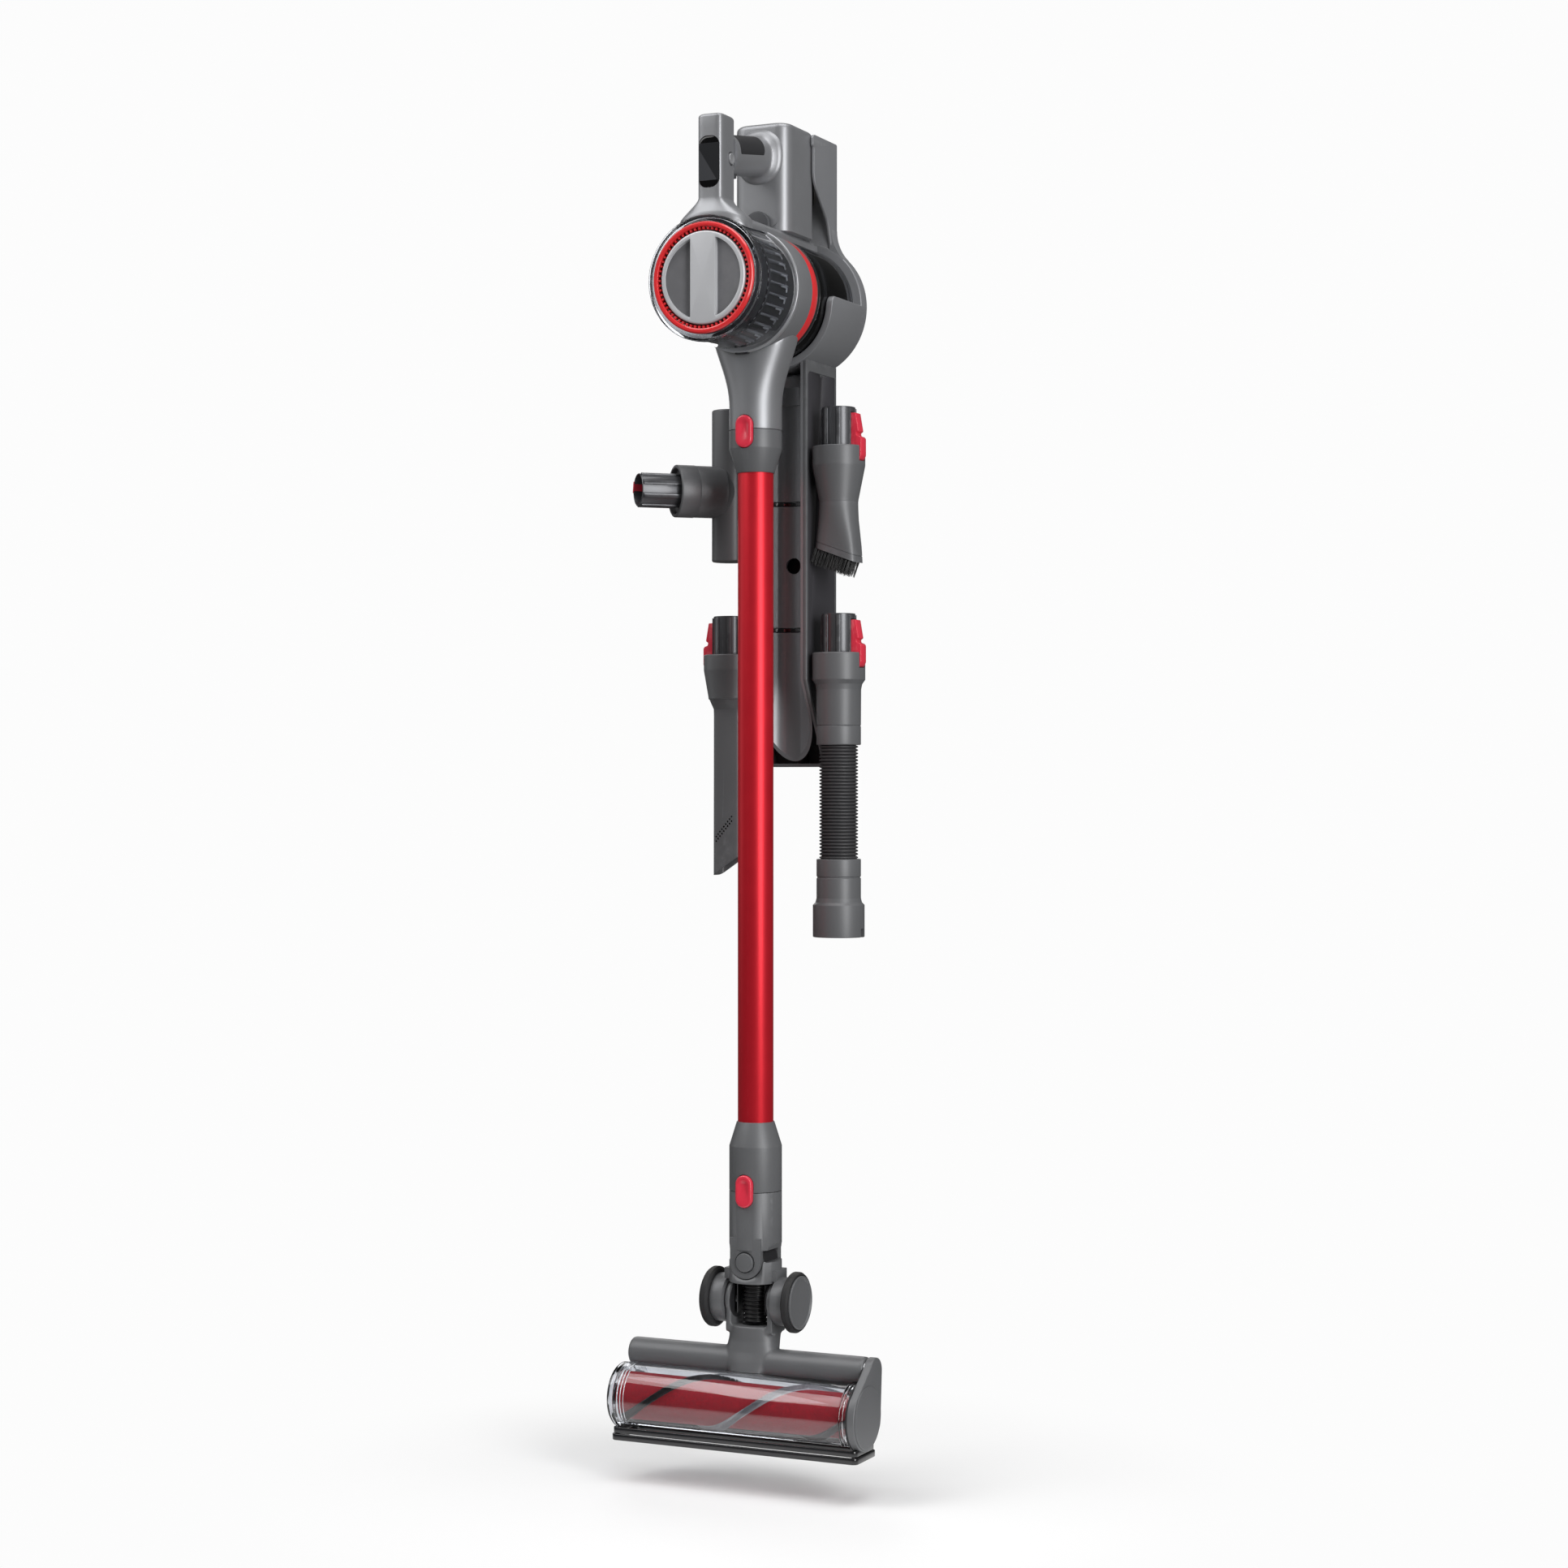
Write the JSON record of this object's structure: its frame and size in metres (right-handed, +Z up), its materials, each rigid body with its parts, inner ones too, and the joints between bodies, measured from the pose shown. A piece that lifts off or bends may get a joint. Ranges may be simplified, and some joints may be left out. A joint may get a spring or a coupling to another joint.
{
  "type": "cordless stick vacuum",
  "caption": "Cordless stick vacuum on its wall charging dock, with a red wand, a clear dust cup, a hinged roller head and stored hand tools.",
  "frame": {"origin": "centre of the dock's two wall screws, on the wall plane", "axes": "+Y into the wall, +Z up along the wand, +X to the right seen from the front"},
  "size_m": [0.2563, 0.217, 1.2038],
  "materials": {
    "silver_plastic": "satin metallic paint on plastic",
    "grey_plastic": "fine satin",
    "dark_plastic": "fine satin",
    "gloss_black": "polished",
    "screen_glass": "polished",
    "grip_rubber": "soft matt",
    "clear_shell": "clear polycarbonate",
    "smoke_shell": "smoked polycarbonate",
    "red_anodised": "satin anodised",
    "red_plastic": "satin",
    "coral_plastic": "satin",
    "knob_plastic": "satin metallic",
    "filter_foam": "pleated",
    "filter_paper": "pleated paper",
    "cell_wrap": "shrink wrap",
    "steel": "turned",
    "board": "solder mask",
    "tyre": "smooth",
    "hose_rubber": "ribbed",
    "roller_felt": "short pile",
    "bristle": "nylon tufts"
  },
  "bodies": {
    "dock": {"dock_column": "grey_plastic", "dock_trough": "gloss_black", "dock_back_plate": "dark_plastic", "dock_cradle": "grey_plastic", "dock_board": "board", "dock_contacts": "dark_plastic", "power_inlet": "dark_plastic", "tool_hooks": "dark_plastic"},
    "vacuum": {"main_housing": "silver_plastic", "handle_post": "silver_plastic", "grip": "silver_plastic", "grip_rubber": "grip_rubber", "screen": "screen_glass", "battery_case": "silver_plastic", "battery_cells": "cell_wrap", "motor": "dark_plastic", "dust_cup": "clear_shell", "seam_ring": "silver_plastic", "red_band": "red_plastic", "rear_cover": "smoke_shell", "cyclone_core": "dark_plastic", "exhaust_filter": "filter_paper", "red_ring": "red_plastic", "inlet_cone": "silver_plastic", "upper_collar": "grey_plastic", "wand_tube": "red_anodised", "lower_collar": "grey_plastic", "neck_sleeve": "grey_plastic", "swivel_pins": "grey_plastic"},
    "fan": {"impeller": "steel"},
    "filter_knob": {"front_knob": "knob_plastic", "front_filter": "filter_foam"},
    "trigger": {"trigger": "dark_plastic"},
    "lock_button": {"lock_button": "dark_plastic"},
    "battery_tab": {"battery_tab": "dark_plastic"},
    "wand_button": {"wand_button": "coral_plastic"},
    "head_button": {"head_button": "coral_plastic"},
    "yoke": {"yoke": "grey_plastic", "neck_hose": "hose_rubber", "wheel_axles": "steel"},
    "wheel_left": {"wheel_left": "tyre"},
    "wheel_right": {"wheel_right": "tyre"},
    "head": {"head_shell": "grey_plastic", "roller_cover": "clear_shell", "belt_cap": "grey_plastic", "head_motor": "dark_plastic", "drive_belt": "hose_rubber", "sole_skirt": "dark_plastic"},
    "roller": {"roller": "roller_felt"},
    "mini_brush": {"mini_brush_body": "grey_plastic"},
    "mini_roller": {"mini_brush_roller": "roller_felt"},
    "crevice_tool": {"crevice_tool": "grey_plastic"},
    "crevice_latch": {"crevice_latch": "coral_plastic"},
    "dusting_brush": {"dusting_brush": "grey_plastic", "dusting_bristles": "bristle"},
    "brush_latch": {"brush_latch": "coral_plastic"},
    "hose": {"hose_collar": "grey_plastic", "hose_bellows": "hose_rubber"},
    "hose_socket": {"hose_socket": "grey_plastic"},
    "hose_latch": {"hose_latch": "coral_plastic"}
  },
  "joints": [
    {"name": "lift_off", "type": "slide", "parent": "dock", "child": "vacuum", "axis": [0, -0.9397, 0.342], "range_m": [0, 0.15]},
    {"name": "fan_spin", "type": "hinge", "parent": "vacuum", "child": "fan", "pos_m": [0, -0.11, 0.074], "axis": [0, 1, 0], "continuous": true},
    {"name": "filter_twist", "type": "hinge", "parent": "vacuum", "child": "filter_knob", "pos_m": [0, -0.2, 0.074], "axis": [0, -1, 0], "range_deg": [0, 60]},
    {"name": "trigger_pull", "type": "slide", "parent": "vacuum", "child": "trigger", "axis": [0, 0, 1], "range_m": [0, 0.004], "stiffness_N_per_m": 400, "springref_m": -0.002},
    {"name": "lock_press", "type": "slide", "parent": "vacuum", "child": "lock_button", "axis": [-1, 0, 0], "range_m": [0, 0.002], "stiffness_N_per_m": 400, "springref_m": -0.002},
    {"name": "battery_tab_pull", "type": "slide", "parent": "vacuum", "child": "battery_tab", "axis": [0, -1, 0], "range_m": [0, 0.003], "stiffness_N_per_m": 400, "springref_m": -0.002},
    {"name": "wand_button_press", "type": "slide", "parent": "vacuum", "child": "wand_button", "axis": [0, 1, 0], "range_m": [0, 0.003], "stiffness_N_per_m": 400, "springref_m": -0.002},
    {"name": "head_button_press", "type": "slide", "parent": "vacuum", "child": "head_button", "axis": [0, 1, 0], "range_m": [0, 0.003], "stiffness_N_per_m": 400, "springref_m": -0.002},
    {"name": "side_swivel", "type": "hinge", "parent": "vacuum", "child": "yoke", "pos_m": [0, -0.11, -0.8053], "axis": [0, 1, 0], "range_deg": [-20, 20]},
    {"name": "head_pitch", "type": "hinge", "parent": "yoke", "child": "head", "pos_m": [0, -0.11, -0.8418], "axis": [1, 0, 0], "range_deg": [0, 75]},
    {"name": "wheel_left_spin", "type": "hinge", "parent": "yoke", "child": "wheel_left", "pos_m": [-0.041, -0.11, -0.8418], "axis": [1, 0, 0], "continuous": true},
    {"name": "wheel_right_spin", "type": "hinge", "parent": "yoke", "child": "wheel_right", "pos_m": [0.041, -0.11, -0.8418], "axis": [1, 0, 0], "continuous": true},
    {"name": "roller_spin", "type": "hinge", "parent": "head", "child": "roller", "pos_m": [0, -0.138, -0.9338], "axis": [1, 0, 0], "continuous": true},
    {"name": "mini_brush_lift", "type": "slide", "parent": "dock", "child": "mini_brush", "axis": [0, 0, 1], "range_m": [0, 0.025]},
    {"name": "mini_roller_spin", "type": "hinge", "parent": "mini_brush", "child": "mini_roller", "pos_m": [-0.056, -0.05, -0.093], "axis": [0, 0, 1], "continuous": true},
    {"name": "crevice_tool_lift", "type": "slide", "parent": "dock", "child": "crevice_tool", "axis": [0, 0, 1], "range_m": [0, 0.025]},
    {"name": "crevice_latch_press", "type": "slide", "parent": "crevice_tool", "child": "crevice_latch", "axis": [1, 0, 0], "range_m": [0, 0.002], "stiffness_N_per_m": 400, "springref_m": -0.002},
    {"name": "dusting_brush_lift", "type": "slide", "parent": "dock", "child": "dusting_brush", "axis": [0, 0, 1], "range_m": [0, 0.025]},
    {"name": "brush_latch_press", "type": "slide", "parent": "dusting_brush", "child": "brush_latch", "axis": [-1, 0, 0], "range_m": [0, 0.002], "stiffness_N_per_m": 400, "springref_m": -0.002},
    {"name": "hose_lift", "type": "slide", "parent": "dock", "child": "hose", "axis": [0, 0, 1], "range_m": [0, 0.025]},
    {"name": "hose_latch_press", "type": "slide", "parent": "hose", "child": "hose_latch", "axis": [-1, 0, 0], "range_m": [0, 0.002], "stiffness_N_per_m": 400, "springref_m": -0.002},
    {"name": "hose_stretch", "type": "slide", "parent": "hose", "child": "hose_socket", "axis": [0, 0, -1], "range_m": [0, 0.15], "stiffness_N_per_m": 20, "springref_m": -0.08, "deforming": ["hose_bellows"]}
  ]
}
